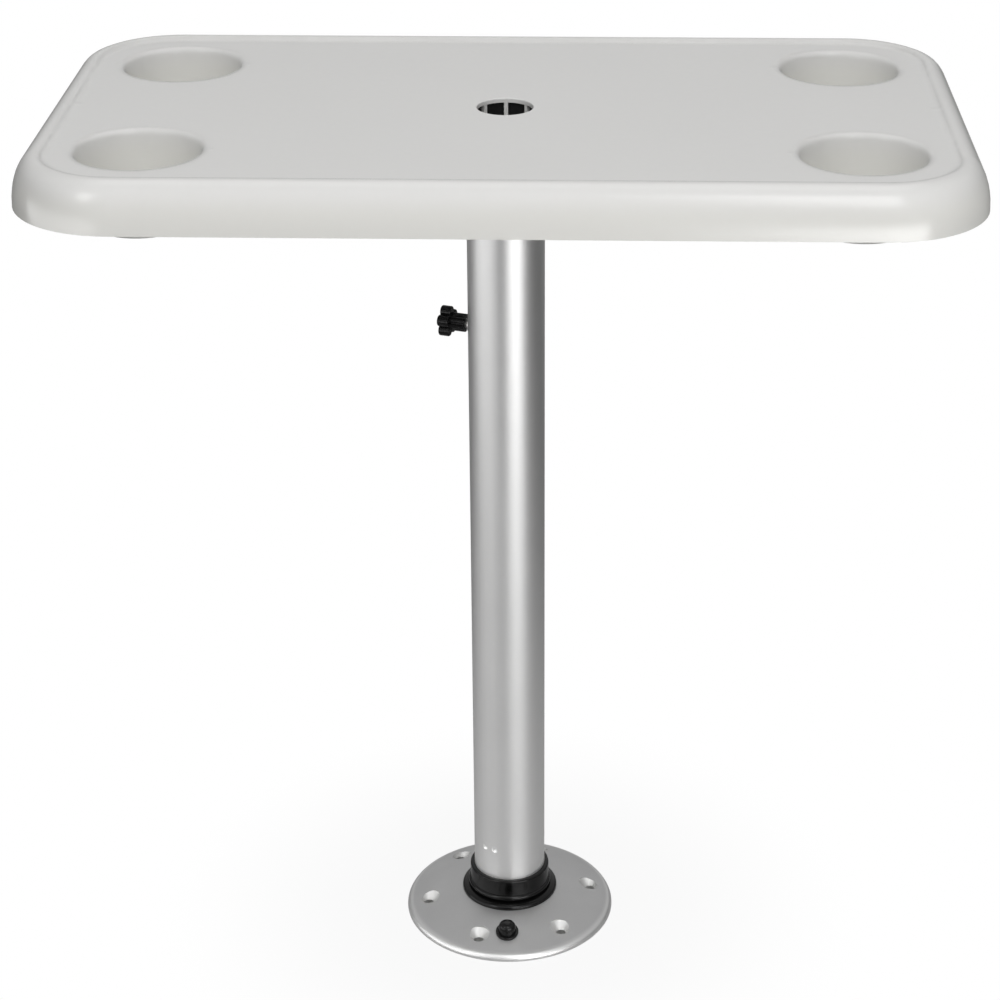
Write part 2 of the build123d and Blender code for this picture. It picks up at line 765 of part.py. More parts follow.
# Push button: a domed plunger whose sloped cam foot passes down through the latch
button_foot_z = latch_top_z + button_travel + seat_clearance
dome_span = (button_distance - hub_seat_radius) / (bolt_circle_radius - hub_seat_radius)
button_seat_z = hub_seat_height + dome_span * (dome_height_at_bolts - hub_seat_height)
button_top_z = button_seat_z + button_rise
with BuildPart() as lock_button:
    with BuildSketch(Plane.XY.offset(button_foot_z)):
        with Locations((0, -button_distance)):
            Circle(button_radius)
    extrude(amount=button_top_z - button_foot_z)
    fillet(round_edges(lock_button, button_radius, button_top_z), button_crown)
    with BuildSketch(Plane.YZ):
        with BuildLine():
            Polyline(
                (cam_line - cam_rest_z - cam_thickness / 2, cam_rest_z),
                (cam_line - cam_rest_z + cam_thickness / 2, cam_rest_z),
                (cam_line - button_foot_z + cam_thickness / 2, button_foot_z),
                (cam_line - button_foot_z - cam_thickness / 2, button_foot_z),
                close=True,
            )
        make_face()
    extrude(amount=cam_width / 2, both=True)
lock_button.part.label = "lock_button"
export_step(lock_button.part, "parts/lock_button.step")

# Grommet round the button: its lip lies on the dome's slope and its neck lines the hole
lip_tilt = Plane(
    origin=(0, -button_distance, button_seat_z),
    x_dir=(1, 0, 0),
    z_dir=(0, sin(dome_arc_slope), cos(dome_arc_slope)),
)
with BuildPart() as button_grommet:
    with BuildSketch(lip_tilt.offset(-grommet_lip)):
        Circle(grommet_lip_radius)
    extrude(amount=2 * grommet_lip)
    fillet(button_grommet.faces().sort_by(Axis.Z)[-1].edges(), grommet_lip / 3)
    add(base_dome.part, mode=Mode.SUBTRACT)
    with BuildSketch(Plane.XY.offset(button_foot_z)):
        with Locations((0, -button_distance)):
            Circle(grommet_radius)
    extrude(amount=button_seat_z - button_foot_z)
    with Locations((0, -button_distance, button_top_z)):
        Hole(button_bore_radius, depth=button_top_z)
button_grommet.part.label = "button_grommet"
export_step(button_grommet.part, "parts/button_grommet.step")
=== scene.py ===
"""Looks of a single pole camper table: cast floor base, black foot, satin tube post and moulded top."""
import math

import bpy
from mathutils import Matrix, Vector


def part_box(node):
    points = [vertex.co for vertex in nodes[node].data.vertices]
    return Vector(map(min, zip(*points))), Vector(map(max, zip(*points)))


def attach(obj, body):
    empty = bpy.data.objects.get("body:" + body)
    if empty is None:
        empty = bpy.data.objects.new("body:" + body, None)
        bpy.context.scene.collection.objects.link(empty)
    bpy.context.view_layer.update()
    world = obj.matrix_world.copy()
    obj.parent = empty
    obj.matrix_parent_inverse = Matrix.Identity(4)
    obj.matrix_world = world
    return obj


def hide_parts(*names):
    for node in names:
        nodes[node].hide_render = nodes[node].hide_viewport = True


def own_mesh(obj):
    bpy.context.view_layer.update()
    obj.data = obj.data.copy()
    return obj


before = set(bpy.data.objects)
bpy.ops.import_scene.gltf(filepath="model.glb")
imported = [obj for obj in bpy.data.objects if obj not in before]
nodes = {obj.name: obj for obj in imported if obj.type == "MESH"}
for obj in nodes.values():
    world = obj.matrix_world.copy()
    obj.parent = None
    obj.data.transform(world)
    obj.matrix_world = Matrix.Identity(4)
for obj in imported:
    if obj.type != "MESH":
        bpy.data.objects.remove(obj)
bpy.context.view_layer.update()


# Floor base. One aluminium casting, a low dome with a rolled rim, shot blasted to an even satin grain.
# The six screw holes are countersunk after casting, so they show bare turned metal, and the rim is
# rubbed a little brighter where it is handled.
class Tap:
    """A shader value. Arithmetic on it adds Math nodes, and put() adds any other node."""

    def __init__(self, tree, socket=None):
        self.tree = tree
        self.socket = socket

    def put(self, kind, settings, sockets, output=0):
        node = self.tree.nodes.new(kind)
        for name, value in settings.items():
            setattr(node, name, value)
        for name, value in sockets.items():
            if isinstance(value, Tap):
                self.tree.links.new(value.socket, node.inputs[name])
            else:
                node.inputs[name].default_value = value
        return Tap(self.tree, node.outputs[output])

    def beside(self, output):
        """Another output of the node that this value comes from."""
        return Tap(self.tree, self.socket.node.outputs[output])

    def calc(self, operation, first, second=0.0):
        return self.put("ShaderNodeMath", {"operation": operation}, {0: first, 1: second})

    def __add__(self, other):
        return self.calc("ADD", self, other)

    def __radd__(self, other):
        return self.calc("ADD", other, self)

    def __sub__(self, other):
        return self.calc("SUBTRACT", self, other)

    def __rsub__(self, other):
        return self.calc("SUBTRACT", other, self)

    def __mul__(self, other):
        return self.calc("MULTIPLY", self, other)

    def __rmul__(self, other):
        return self.calc("MULTIPLY", other, self)

    def __mod__(self, other):
        return self.calc("FLOORED_MODULO", self, other)

    def __rmod__(self, other):
        return self.calc("FLOORED_MODULO", other, self)

    def root(self):
        return self.calc("SQRT", self)

    def cosine(self):
        return self.calc("COSINE", self)

    def sine(self):
        return self.calc("SINE", self)

    def axes(self):
        """The three parts of a point."""
        first = self.put("ShaderNodeSeparateXYZ", {}, {"Vector": self}, "X")
        return first, first.beside("Y"), first.beside("Z")

    def stretched(self, x, y, z):
        return self.put("ShaderNodeMapping", {}, {"Vector": self, "Scale": (x, y, z)}, "Vector")

    def cloud(self, scale, detail=2.0):
        """Soft noise over a point, about 0.5 on the whole."""
        return self.put("ShaderNodeTexNoise", {}, {"Vector": self, "Scale": scale, "Detail": detail}, "Fac")

    def clipped(self, low, high):
        """0 at low, 1 at high, smooth between."""
        return self.put(
            "ShaderNodeMapRange",
            {"interpolation_type": "SMOOTHSTEP"},
            {"Value": self, "From Min": low, "From Max": high},
        )

    def tint(self, low, high):
        """The colour low where this value is 0, and high where it is 1."""
        ends = [end if isinstance(end, Tap) else (*end, 1.0) for end in (low, high)]
        sockets = {"Factor": self, "A": ends[0], "B": ends[1]}
        return self.put("ShaderNodeMix", {"data_type": "RGBA"}, sockets, "Result")

    def blend(self, low, high):
        """The direction low where this value is 0, and high where it is 1."""
        sockets = {"Factor": self, "A": low, "B": high}
        return self.put("ShaderNodeMix", {"data_type": "VECTOR"}, sockets, "Result")

    def bump(self, strength, distance, **skin):
        """The surface direction that this height gives, with the height's depth in metres."""
        sockets = {"Height": self, "Strength": strength, "Distance": distance, **skin}
        return self.put("ShaderNodeBump", {}, sockets, "Normal")


def finish_named(name, **constants):
    """A new material, its shader, and the point on the piece that is being shaded."""
    material = bpy.data.materials.new(name)
    material.use_nodes = True
    tree = material.node_tree
    shader = tree.nodes["Principled BSDF"]
    for socket, value in constants.items():
        shader.inputs[socket.replace("_", " ")].default_value = value
    return material, shader, Tap(tree).put("ShaderNodeTexCoord", {}, {}, "Object")


def feed(shader, **taps):
    for name, tap in taps.items():
        tap.tree.links.new(tap.socket, shader.inputs[name.replace("_", " ")])


def wear(material, *names):
    """Give these CAD nodes this finish alone."""
    for name in names:
        nodes[name].data.materials.clear()
        nodes[name].data.materials.append(material)


base_radius, bolt_radius, bolt_count, bolt_start = 0.0889, 0.0708, 6, math.radians(10.0)
sink_radius, sink_edge, sink_start, sink_depth = 0.0097, 0.0101, 0.00008, 0.0004
rub_start, rub_full = 0.0825, 0.0872
cutter_pitch = 0.0006
dome_rise = ((0.041, 0.0182), (bolt_radius, 0.011), (base_radius, 0.0044))
# The dome's section is the arc through these three points, and this is its centre and radius.
(ax, az), (bx, bz), (cx, cz) = dome_rise
spread = 2 * (ax * (bz - cz) + bx * (cz - az) + cx * (az - bz))
sa, sb, sc = ax * ax + az * az, bx * bx + bz * bz, cx * cx + cz * cz
dome_x = (sa * (bz - cz) + sb * (cz - az) + sc * (az - bz)) / spread
dome_z = (sa * (cx - bx) + sb * (ax - cx) + sc * (bx - ax)) / spread
dome_bend = math.hypot(ax - dome_x, az - dome_z)

cast, shader, point = finish_named("cast_aluminium", Metallic=1.0)
x, y, z = point.axes()
radius = (x * x + y * y).root()
sector = math.tau / bolt_count
fold = (y.calc("ARCTAN2", y, x) - bolt_start + sector / 2) % sector - sector / 2
from_bolt = (radius * radius + bolt_radius**2 - radius * (2 * bolt_radius) * fold.cosine()).root()
dome_at = (dome_bend**2 - (radius - dome_x) * (radius - dome_x)).root() + dome_z
sunk = (dome_at - z).clipped(sink_start, sink_depth) * from_bolt.clipped(sink_edge, sink_radius)
rubbed = radius.clipped(rub_start, rub_full)
grain = point.cloud(1300.0, 3.0)
mottle = point.cloud(42.0, 4.0)
blasted = mottle.tint((0.54, 0.54, 0.543), (0.62, 0.62, 0.62))
speckled = (grain.clipped(0.55, 0.8) * 0.35).tint(blasted, (0.70, 0.70, 0.70))
rim_bright = (rubbed * 0.8).tint(speckled, (0.84, 0.84, 0.835))
feed(shader, Base_Color=(sunk * 0.85).tint(rim_bright, (0.74, 0.74, 0.73)))
feed(shader, Roughness=0.50 + mottle * 0.10 - rubbed * 0.14 - sunk * 0.04)
rings = (from_bolt * (math.tau / cutter_pitch)).sine() * sunk
feed(shader, Normal=(grain * (1.0 - sunk) + rings * 0.3).bump(0.22, 0.00025))
wear(cast, "base_flange")

# Black ring that the collar turns on, with a sleeve down inside the casting. It is turned from black
# engineering plastic and polished. Fine turning lines run round it, with a few grey rub marks.
turning_pitch = 0.0009
gloss_black, shader, point = finish_named("polished_black", Specular_IOR_Level=0.30)
x, y, z = point.axes()
radius = (x * x + y * y).root()
rub = point.stretched(1.0, 1.0, 6.0).cloud(90.0, 5.0)
lines = ((z + radius * 0.7) * (math.tau / turning_pitch)).sine()
feed(shader, Base_Color=rub.clipped(0.58, 0.82).tint((0.003, 0.003, 0.003), (0.010, 0.010, 0.010)))
feed(shader, Roughness=0.10 + rub * 0.14)
feed(shader, Normal=(lines * 0.35 + rub).bump(0.10, 0.00012))
wear(gloss_black, "bearing_ring")

# Spigot in the base, a stub that the post's foot slides down over. It is a matt black glass-filled
# moulding, with a slightly fibrous skin and a chalky bloom on it.
matt_black, shader, point = finish_named("fibrous_black", Specular_IOR_Level=0.30)
fibre = point.stretched(1.0, 1.0, 0.3).cloud(900.0, 3.0)
bloom = point.cloud(60.0, 3.0)
chalk = bloom * 0.6 + fibre * 0.3
feed(shader, Base_Color=chalk.tint((0.004, 0.004, 0.004), (0.014, 0.014, 0.0145)))
feed(shader, Roughness=0.48 + bloom * 0.2)
feed(shader, Normal=fibre.bump(0.3, 0.0002))
wear(matt_black, "base_spigot")

# Bottom plate that closes the base, and the latch that slides on it. Both are pressed from steel sheet and
# bright zinc plated, which leaves soft crystal patches and a faint yellow cast.
zinc, shader, point = finish_named("bright_zinc", Metallic=1.0)
crystal = point.put("ShaderNodeTexVoronoi", {}, {"Vector": point, "Scale": 420.0}, "Color")
patch = crystal.axes()[0]
haze = point.cloud(150.0, 4.0)
feed(shader, Base_Color=(patch * 0.5 + haze * 0.5).tint((0.46, 0.465, 0.47), (0.64, 0.63, 0.60)))
feed(shader, Roughness=0.26 + haze * 0.16)
feed(shader, Normal=(patch * 0.4 + haze).bump(0.06, 0.0002))
wear(zinc, "bottom_plate", "lock_latch")


# Screws of the bottom plate. They are eight countersunk cross-head screws, cold headed from wire and zinc
# plated. Four go up through the plate into the casting and four into the spigot, flush with the plate.
def alone(piece):
    """Select this piece alone and make it the active one."""
    bpy.ops.object.select_all(action="DESELECT")
    piece.select_set(True)
    bpy.context.view_layer.objects.active = piece


def settle():
    """Put the place, turn and scale of the selected piece into its mesh."""
    bpy.ops.object.transform_apply(location=True, rotation=True, scale=True)


def turned(name, outline, sides):
    """A turned piece on the Z axis: a disc drawn out through these (radius, height) steps."""
    (radius, height), *steps = outline
    bpy.ops.object.select_all(action="DESELECT")
    bpy.ops.mesh.primitive_circle_add(
        vertices=sides, radius=radius, fill_type="NGON", location=(0.0, 0.0, height)
    )
    piece = bpy.context.object
    piece.name = name
    bpy.ops.object.mode_set(mode="EDIT")
    bpy.ops.mesh.select_all(action="SELECT")
    for wider, level in steps:
        growth = wider / radius
        bpy.ops.mesh.extrude_region_move(TRANSFORM_OT_translate={"value": (0.0, 0.0, level - height)})
        bpy.ops.transform.resize(value=(growth, growth, 1.0), center_override=(0.0, 0.0, level))
        radius, height = wider, level
    bpy.ops.mesh.select_all(action="SELECT")
    bpy.ops.mesh.normals_make_consistent(inside=False)
    bpy.ops.object.mode_set(mode="OBJECT")
    settle()
    return piece


def pick(piece, test):
    """Go into edit mode on a piece with only the points selected that pass a test."""
    alone(piece)
    bpy.ops.object.mode_set(mode="EDIT")
    bpy.ops.mesh.select_mode(type="VERT")
    bpy.ops.mesh.select_all(action="DESELECT")
    bpy.ops.object.mode_set(mode="OBJECT")
    for corner in piece.data.vertices:
        corner.select = test(corner.co)
    bpy.ops.object.mode_set(mode="EDIT")


def cross_recess(piece, face, reach, width, depth):
    """Cut a cross up into the face at this height: two bars that narrow towards their bottom."""
    taper = 0.55
    for turn in (0.0, math.pi / 2):
        bpy.ops.object.select_all(action="DESELECT")
        bpy.ops.mesh.primitive_cube_add(
            size=1.0,
            location=(0.0, 0.0, face),
            rotation=(0.0, 0.0, turn),
            scale=(2 * reach, width, 2 * depth),
        )
        bar = bpy.context.object
        settle()
        pick(bar, lambda corner: corner.z > face)
        bpy.ops.transform.resize(value=(taper, taper, 1.0), center_override=(0.0, 0.0, face + depth))
        bpy.ops.object.mode_set(mode="OBJECT")
        cut = piece.modifiers.new("recess", "BOOLEAN")
        cut.operation = "DIFFERENCE"
        cut.solver = "EXACT"
        cut.object = bar
        alone(piece)
        bpy.ops.object.modifier_apply(modifier="recess")
        bpy.data.objects.remove(bar)
    bpy.ops.object.shade_smooth_by_angle(angle=math.radians(35.0))


def drive(screw, node, body, ring, stops):
    """Put copies of a screw on a ring, each stopped at its own turn, in place of a CAD node."""
    for index, stop in enumerate(stops):
        bearing = math.radians(45.0 + 90.0 * index)
        alone(screw)
        bpy.ops.object.duplicate(linked=False)
        driven = bpy.context.object
        driven.name = f"{node}_{index + 1}"
        driven.rotation_euler.z = stop
        driven.location = (ring * math.cos(bearing), ring * math.sin(bearing), 0.0)
        settle()
        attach(driven, body)
        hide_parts(node)


plate_head, plate_shank, plate_face, plate_tip = 0.00378, 0.0020, 0.0003, 0.0096
edge_break, head_depth, point_length = 0.00008, 0.00178, 0.0016
plate_ring, spigot_ring = 0.045, 0.0185
screw = turned(
    "plate_screw",
    (
        (plate_head * 0.96, plate_face),
        (plate_head, plate_face + edge_break),
        (plate_shank, plate_face + head_depth),
        (plate_shank, plate_tip - point_length),
        (plate_shank * 0.25, plate_tip),
    ),
    sides=40,
)
screw.data.materials.append(zinc)
cross_recess(screw, plate_face, reach=0.0021, width=0.00085, depth=0.0012)
drive(screw, "plate_screws", "base", plate_ring, (0.90, 1.45, 2.00, 2.55))
drive(screw, "spigot_screws", "base", spigot_ring, (0.37, 0.92, 1.47, 2.02))
bpy.data.objects.remove(screw)

# Latch spring. It is cold-drawn wire wound in seven coils, dark with its own drawing oil and bright along the
# crown of each coil. It lies in the latch's window, and is squeezed towards a tab of the plate.
wire, shader, point = finish_named("drawn_wire", Metallic=1.0)
drawn = point.stretched(3.0, 1.0, 3.0).cloud(700.0, 3.0)
feed(shader, Base_Color=drawn.tint((0.24, 0.24, 0.25), (0.46, 0.46, 0.46)))
feed(shader, Roughness=0.28 + drawn * 0.14)
feed(shader, Normal=drawn.bump(0.12, 0.00008))


def wound(piece, pitch, turns, steps):
    """Wind the section that a piece holds round the Z axis, up by one pitch each turn."""
    winding = piece.modifiers.new("winding", "SCREW")
    winding.angle = math.tau
    winding.screw_offset = pitch
    winding.iterations = turns
    winding.steps = steps
    winding.render_steps = steps
    bpy.ops.object.modifier_apply(modifier="winding")


spring_low, spring_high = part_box("latch_spring")
wire_radius, wire_sides, coil_count, latch_travel = 0.00035, 14, 7, 0.003
coil_radius = (spring_high.x - spring_low.x) / 2 - wire_radius
spring_length = spring_high.y - spring_low.y
spring_seat = ((spring_low.x + spring_high.x) / 2, spring_low.y, (spring_low.z + spring_high.z) / 2)
bpy.ops.object.select_all(action="DESELECT")
bpy.ops.mesh.primitive_circle_add(
    vertices=wire_sides,
    radius=wire_radius,
    location=(coil_radius, 0.0, wire_radius),
    rotation=(math.pi / 2, 0.0, 0.0),
)
spring = bpy.context.object
spring.name = "coil_spring"
settle()
wound(spring, (spring_length - 2 * wire_radius) / coil_count, coil_count, steps=36)
bpy.ops.object.mode_set(mode="EDIT")
bpy.ops.mesh.select_all(action="SELECT")
bpy.ops.mesh.fill_holes(sides=0)
bpy.ops.mesh.select_all(action="SELECT")
bpy.ops.mesh.normals_make_consistent(inside=False)
bpy.ops.object.mode_set(mode="OBJECT")
spring.rotation_euler = (-math.pi / 2, 0.0, 0.0)
spring.location = spring_seat
settle()
bpy.ops.object.shade_smooth_by_angle(angle=math.radians(50.0))
spring.data.materials.append(wire)
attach(spring, "base")
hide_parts("latch_spring")
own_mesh(spring)

# Push button and the grommet that it slides in. They are satin black mouldings with a fine spark-eroded
# grain, a little smoother and greyer where thumbs polish them. The grommet is pressed into the casting.
satin_black, shader, point = finish_named("satin_black", Specular_IOR_Level=0.24)
spark = point.cloud(2400.0, 2.0)
handled = point.cloud(130.0, 3.0)
greyed = handled * 0.7 + spark * 0.3
feed(shader, Base_Color=greyed.tint((0.003, 0.003, 0.003), (0.011, 0.011, 0.0113)))
feed(shader, Roughness=0.30 - handled * 0.16)
feed(shader, Normal=spark.bump(0.14, 0.0001))
wear(satin_black, "lock_button", "button_grommet")

# Foot of the post. It is turned from the same polished black plastic as the ring, with a collar outside the
# tube, a plug inside it, and below them a grooved skirt that goes down into the base.
wear(gloss_black, "foot_bush")

# Post. It is drawn aluminium tube, satin finished round and round on a belt and then anodised,
# so each lamp spreads into a long soft streak up its length. A few die lines run down it.
tube, shader, point = finish_named("satin_anodised", Metallic=1.0, Anisotropic=0.3, Anisotropic_Rotation=0.25)
belt = point.stretched(1.0, 1.0, 40.0).cloud(55.0, 5.0)
die = point.stretched(1.0, 1.0, 0.004).cloud(260.0, 2.0)
smudge = point.cloud(14.0, 3.0)
feed(shader, Base_Color=(die * 0.5 + smudge * 0.5).tint((0.88, 0.88, 0.88), (0.94, 0.936, 0.928)))
feed(shader, Roughness=0.40 + belt * 0.07 + smudge * 0.04)
feed(shader, Normal=(belt + die * 0.6).bump(0.05, 0.00012))
wear(tube, "post_tube")

# Clamp nut. It is a flanged steel nut, turned, tapped and bright zinc plated, pressed into a hole in
# the tube's wall for the clamp screw.
wear(zinc, "clamp_nut")

# Clamp pad. It is a plain turned nylon button, cream white and waxy, that snaps on the stud's pin and
# presses on the umbrella pole without turning.
nylon, shader, point = finish_named("turned_nylon", Subsurface_Weight=0.08, Subsurface_Scale=0.002)
wax = point.cloud(300.0, 3.0)
feed(shader, Base_Color=wax.tint((0.56, 0.54, 0.47), (0.68, 0.66, 0.60)))
feed(shader, Roughness=0.36 + wax * 0.14)
feed(shader, Normal=wax.bump(0.10, 0.0002))
wear(nylon, "clamp_pad")

# Stud of the clamp screw. It is M8 steel rod with a rolled right-hand thread, zinc plated, and its end is
# turned down to a pin for the pad. The other end is moulded into the knob.
thread_pitch, crest, valley, weld = 0.00125, 0.00392, 0.00315, 0.000001
stud_foot, stud_end = 0.02478, 0.04565
pin_radius, pin_foot, pin_chamfer, pin_overlap = 0.00195, 0.02198, 0.0004, 0.0002
clamp_height, clamp_bearing = 0.5393, math.radians(162.0)
bpy.ops.object.select_all(action="DESELECT")
bpy.ops.mesh.primitive_plane_add(size=thread_pitch, location=(valley, 0.0, stud_foot - thread_pitch))
stud = bpy.context.object
stud.name = "threaded_stud"
settle()
bpy.ops.object.mode_set(mode="EDIT")
bpy.ops.mesh.select_all(action="SELECT")
bpy.ops.mesh.merge(type="CENTER")
for out, share in ((0.0, 0.2), (crest - valley, 0.34), (0.0, 0.12), (valley - crest, 0.34)):
    bpy.ops.mesh.extrude_vertices_move(TRANSFORM_OT_translate={"value": (out, 0.0, share * thread_pitch)})
bpy.ops.object.mode_set(mode="OBJECT")
wound(stud, thread_pitch, math.ceil((stud_end - stud_foot) / thread_pitch) + 2, steps=40)
bpy.ops.object.mode_set(mode="EDIT")
for level, keep_above in ((stud_foot, True), (stud_end, False)):
    bpy.ops.mesh.select_all(action="SELECT")
    bpy.ops.mesh.remove_doubles(threshold=weld)
    bpy.ops.mesh.bisect(
        plane_co=(0.0, 0.0, level),
        plane_no=(0.0, 0.0, 1.0),
        use_fill=True,
        clear_inner=keep_above,
        clear_outer=not keep_above,
    )
bpy.ops.mesh.select_all(action="SELECT")
bpy.ops.mesh.normals_make_consistent(inside=False)
bpy.ops.object.mode_set(mode="OBJECT")
pin = turned(
    "pin",
    (
        (pin_radius * 0.8, pin_foot),
        (pin_radius, pin_foot + pin_chamfer),
        (pin_radius, stud_foot + pin_overlap),
    ),
    sides=40,
)
alone(stud)
pin.select_set(True)
bpy.ops.object.join()
stud.rotation_euler = (0.0, math.pi / 2, clamp_bearing)
stud.location = (0.0, 0.0, clamp_height)
settle()
bpy.ops.object.shade_smooth_by_angle(angle=math.radians(28.0))
stud.data.materials.append(zinc)
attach(stud, "clamp_screw")
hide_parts("clamp_stud")

# Clamp knob. It is the same satin black moulding as the button, with five lobes for the fingers and a
# fluted hub, moulded on the end of the stud.
wear(satin_black, "clamp_knob")

# Bracket under the top. It is the same matt black glass-filled moulding as the spigot, a round plate with
# gussets, a socket for the post and a slotted ring that keys on the top's ribs.
wear(matt_black, "top_bracket")

# Bracket screws. They are four pan-head cross-recess screws, cold headed and zinc plated, driven up through
# the bracket's plate into the bosses of the top.
pan_radius, pan_seat, pan_face, pan_shank, pan_tip = 0.0052, 0.690, 0.6866, 0.0025, 0.7087
bracket_ring, pan_point = 0.062, 0.0030
screw = turned(
    "bracket_screw",
    (
        (pan_radius * 0.50, pan_face),
        (pan_radius * 0.74, pan_face + 0.00012),
        (pan_radius * 0.90, pan_face + 0.0005),
        (pan_radius * 0.985, pan_face + 0.0012),
        (pan_radius, pan_face + 0.0020),
        (pan_radius, pan_seat),
        (pan_shank, pan_seat),
        (pan_shank, pan_tip - pan_point),
        (pan_shank * 0.2, pan_tip),
    ),
    sides=48,
)
screw.data.materials.append(zinc)
cross_recess(screw, pan_face, reach=0.0024, width=0.0011, depth=0.0018)
drive(screw, "bracket_screws", "table", bracket_ring, (0.3, 1.0, 1.7, 2.4))
bpy.data.objects.remove(screw)

# Set screws. They are two hexagon socket grub screws, zinc plated like the rest, screwed in through the
# bracket's socket until they grip the post.
wear(zinc, "set_screws")

# Table top. One off-white moulding with a rolled edge, a shallow raised rim and four cup wells.
# It is glossy sheet formed over a tool, so the skin is smooth with a faint ripple and its edges are soft.
# Down in the wells the colour is a little creamier, a painted tint for the warm light that bounces inside
# them.
half_length, half_depth, corner = 0.349, 0.1995, 0.080
rim_start, rim_crest, rim_foot, rim_end = 0.014, 0.020, 0.027, 0.0315
well_x, well_y, lip_radius, lip_end = 0.2595, 0.1075, 0.0515, 0.0565
well_mouth, well_bounce_full, lip_foot, lip_top = 0.7175, 0.700, 0.690, 0.708
edge_softness = 0.008

moulded, shader, point = finish_named("moulded_top", IOR=1.49)
x, y, z = point.axes()
drift = point.cloud(5.0, 3.0)
fleck = point.cloud(160.0, 4.0)
ripple = point.cloud(210.0, 2.0)
# Painted bounce light: the colour turns a little creamier down in the wells.
painted_well_bounce = z.clipped(well_mouth, well_bounce_full)
body = (drift * 0.7 + fleck * 0.3).tint((0.655, 0.651, 0.640), (0.695, 0.691, 0.678))
feed(shader, Base_Color=(painted_well_bounce * 0.7).tint(body, (0.675, 0.67, 0.635)))
feed(shader, Roughness=0.15 + fleck * 0.08)
across, along = x.calc("ABSOLUTE", x), y.calc("ABSOLUTE", y)
past_x = x.calc("MAXIMUM", across - (half_length - corner), 0.0)
past_y = y.calc("MAXIMUM", along - (half_depth - corner), 0.0)
flank = x.calc("MAXIMUM", across - half_length, along - half_depth)
inset = x.calc("MINIMUM", corner - (past_x * past_x + past_y * past_y).root(), 0.0 - flank)
on_rim = inset.clipped(rim_start, rim_crest) * inset.clipped(rim_end, rim_foot)
from_well = ((across - well_x) * (across - well_x) + (along - well_y) * (along - well_y)).root()
on_lip = from_well.clipped(lip_end, lip_radius) * z.clipped(lip_foot, lip_top)
flat = point.put("ShaderNodeNewGeometry", {}, {}, "Normal")
soft = point.put("ShaderNodeBevel", {"samples": 8}, {"Radius": edge_softness}, "Normal")
eased = (on_rim + on_lip).clipped(0.0, 1.0).blend(flat, soft)
feed(shader, Normal=(ripple + drift * 2.0).bump(0.02, 0.0004, Normal=eased))
wear(moulded, "table_top")

# Camera, matched to the photograph's view: in front, above the top and looking down at the post. The
# frame is square, and the picture's centre and focal length are in its pixels.
frame_side, focal_length, centre_x, centre_y = 1000.0, 2538.5, 526.90, 492.17
pitch, yaw, roll = math.radians(25.725), math.radians(-1.664), math.radians(-0.134)
eye = Vector((0.06938, -1.84469, 1.28624))
forward = Vector((math.sin(yaw) * math.cos(pitch), math.cos(yaw) * math.cos(pitch), -math.sin(pitch)))
level_right = Vector((math.cos(yaw), -math.sin(yaw), 0.0))
level_up = level_right.cross(forward)
rightward = level_right * math.cos(roll) + level_up * math.sin(roll)
upward = level_up * math.cos(roll) - level_right * math.sin(roll)
view = bpy.data.cameras.new("view")
view.sensor_width = 36.0
view.lens = focal_length * view.sensor_width / frame_side
view.shift_x = (frame_side / 2 - centre_x) / frame_side
view.shift_y = (centre_y - frame_side / 2) / frame_side
camera = bpy.data.objects.new("camera", view)
bpy.context.scene.collection.objects.link(camera)
camera.matrix_world = Matrix(
    (
        (rightward.x, upward.x, -forward.x, eye.x),
        (rightward.y, upward.y, -forward.y, eye.y),
        (rightward.z, upward.z, -forward.z, eye.z),
        (0.0, 0.0, 0.0, 1.0),
    )
)
bpy.context.scene.camera = camera

# Studio floor. It is matt white paper that keeps the table's soft shadow close by and clears to
# plain white further out. Under the base it stays in the dark, as the screw holes show.
floor_side, shade_start, shade_end, shade_left = 24.0, 0.085, 0.32, 0.92
hidden_start, hidden_end = base_radius - 0.003, base_radius - 0.0005
bpy.ops.object.select_all(action="DESELECT")
bpy.ops.mesh.primitive_plane_add(size=floor_side, location=(0.0, 0.0, 0.0))
floor = bpy.context.object
floor.name = "floor"
paper, shader, point = finish_named("studio_paper", Base_Color=(0.50, 0.50, 0.50, 1.0), Roughness=0.95)
x, y = point.axes()[:2]
radius = (x * x + y * y).root()
whitened = shade_left + radius.clipped(shade_start, shade_end) * (1.0 - shade_left)
to_camera = point.put("ShaderNodeLightPath", {}, {}, "Is Camera Ray")
seen = (to_camera + to_camera.beside("Is Transmission Ray")).clipped(0.0, 1.0)
cleared = seen * (whitened * radius.clipped(hidden_start, hidden_end))
# Painted shade: seen in reflections the paper turns darker away from the table, least of all behind it.
painted_reflection_shade = to_camera.beside("Is Glossy Ray") * radius.clipped(0.15, 1.0) * (0.68 - y.clipped(0.9, 1.4) * 0.5)
bare = Tap(point.tree, shader.outputs["BSDF"])
lit = point.put("ShaderNodeEmission", {}, {"Color": (1.0, 1.0, 1.0, 1.0), "Strength": 1.0}, "Emission")
unlit = point.put("ShaderNodeEmission", {}, {"Strength": 0.0}, "Emission")
mixed = point.put("ShaderNodeMixShader", {}, {"Fac": cleared, 1: bare, 2: lit}, "Shader")
mixed = point.put("ShaderNodeMixShader", {}, {"Fac": painted_reflection_shade, 1: mixed, 2: unlit}, "Shader")
point.tree.links.new(mixed.socket, point.tree.nodes["Material Output"].inputs["Surface"])
floor.data.materials.append(paper)

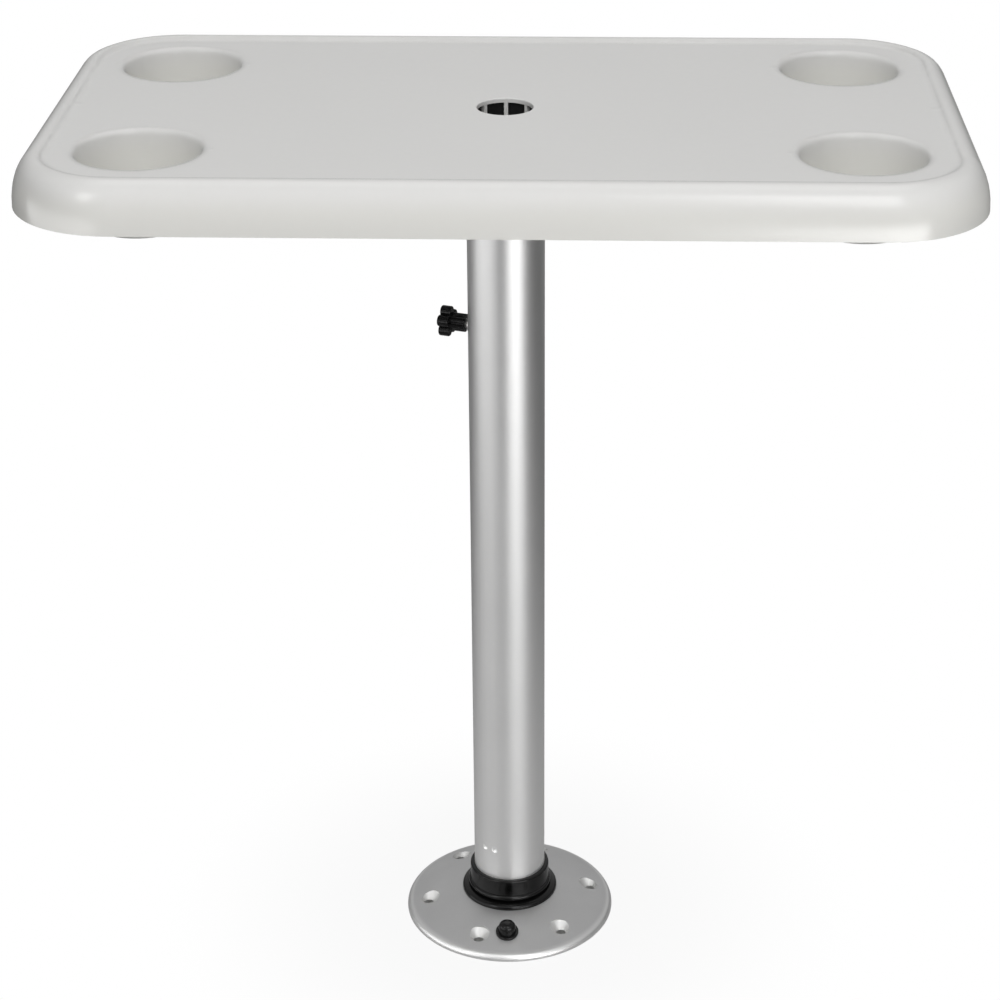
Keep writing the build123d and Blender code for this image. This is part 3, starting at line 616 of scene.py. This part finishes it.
# Studio room and lamps. The room is plain white behind the table and dimmer to the front. Soft boxes stand
# in front, overhead, left and right, with a low fill. Two cards, faded towards their top and sides, stand low
# at the right and along the left, and only show as gleams.
world = bpy.data.worlds.new("studio")
bpy.context.scene.world = world
world.use_nodes = True
room = world.node_tree.nodes["Background"]
room.inputs["Color"].default_value = (1.0, 1.0, 1.0, 1.0)
room_light = 0.28
heading = Tap(world.node_tree).put("ShaderNodeTexCoord", {}, {}, "Generated")
y, z = heading.axes()[1:]
to_camera = heading.put("ShaderNodeLightPath", {}, {}, "Is Camera Ray")
seen = (to_camera + to_camera.beside("Is Transmission Ray")).clipped(0.0, 1.0)
behind, above = y.clipped(0.76, 0.98), z.clipped(0.04, 0.45)
ahead = y.clipped(0.05, -0.45) * z.clipped(0.4, 0.65)
gleam = behind * 0.35 + above * 0.44 + ahead * 0.35 - 0.20
glossy = to_camera.beside("Is Glossy Ray")
feed(room, Strength=room_light + seen * (1.0 - room_light) + glossy * gleam)

card_fade, card_full, card_gain = 0.12, 0.3, 1.6
for name, place, aim, size, power, gives in (
    ("front_box", (0.2, -2.4, 2.6), (0.0, 0.0, 0.6), (3.6, 2.0), 38.0, "light"),
    ("fill_box", (1.14, -2.06, 0.45), (0.0, 0.0, 0.5), (1.9, 0.8), 12.5, "light"),
    ("over_box", (0.0, 0.3, 2.5), (0.0, 0.0, 0.4), (1.8, 1.4), 9.5, "both"),
    ("right_box", (0.78, -2.25, 2.7), (0.0, 0.0, 0.6), (0.9, 1.4), 15.0, "both"),
    ("left_box", (-1.52, -1.8, 2.05), (0.0, 0.0, 0.6), (0.6, 0.75), 6.5, "both"),
    ("low_card", (1.1, -1.98, 0.45), (0.0, 0.0, 0.5), (1.9, 0.8), 20.9, "gleam"),
    ("side_card", (-1.77, -0.93, 0.5), (0.0, 0.0, 0.5), (3.4, 0.8), 16.2, "gleam"),
):
    lamp = bpy.data.lights.new(name, "AREA")
    lamp.shape = "RECTANGLE"
    lamp.size, lamp.size_y = size
    lamp.energy = power
    holder = bpy.data.objects.new(name, lamp)
    bpy.context.scene.collection.objects.link(holder)
    holder.location = place
    holder.visible_glossy = gives != "light"
    holder.visible_diffuse = gives != "gleam"
    holder.rotation_mode = "QUATERNION"
    holder.rotation_quaternion = (Vector(aim) - Vector(place)).to_track_quat("-Z", "Y")
    if gives == "gleam":
        lamp.use_nodes = True
        spot = Tap(lamp.node_tree).put("ShaderNodeNewGeometry", {}, {}, "Parametric")
        u, v = spot.axes()[:2]
        sides = u.clipped(0.0, card_fade) * u.clipped(1.0, 1.0 - card_fade)
        feed(lamp.node_tree.nodes["Emission"], Strength=sides * v.clipped(1.0, card_full) * card_gain)

bpy.context.scene.view_settings.view_transform = "Standard"
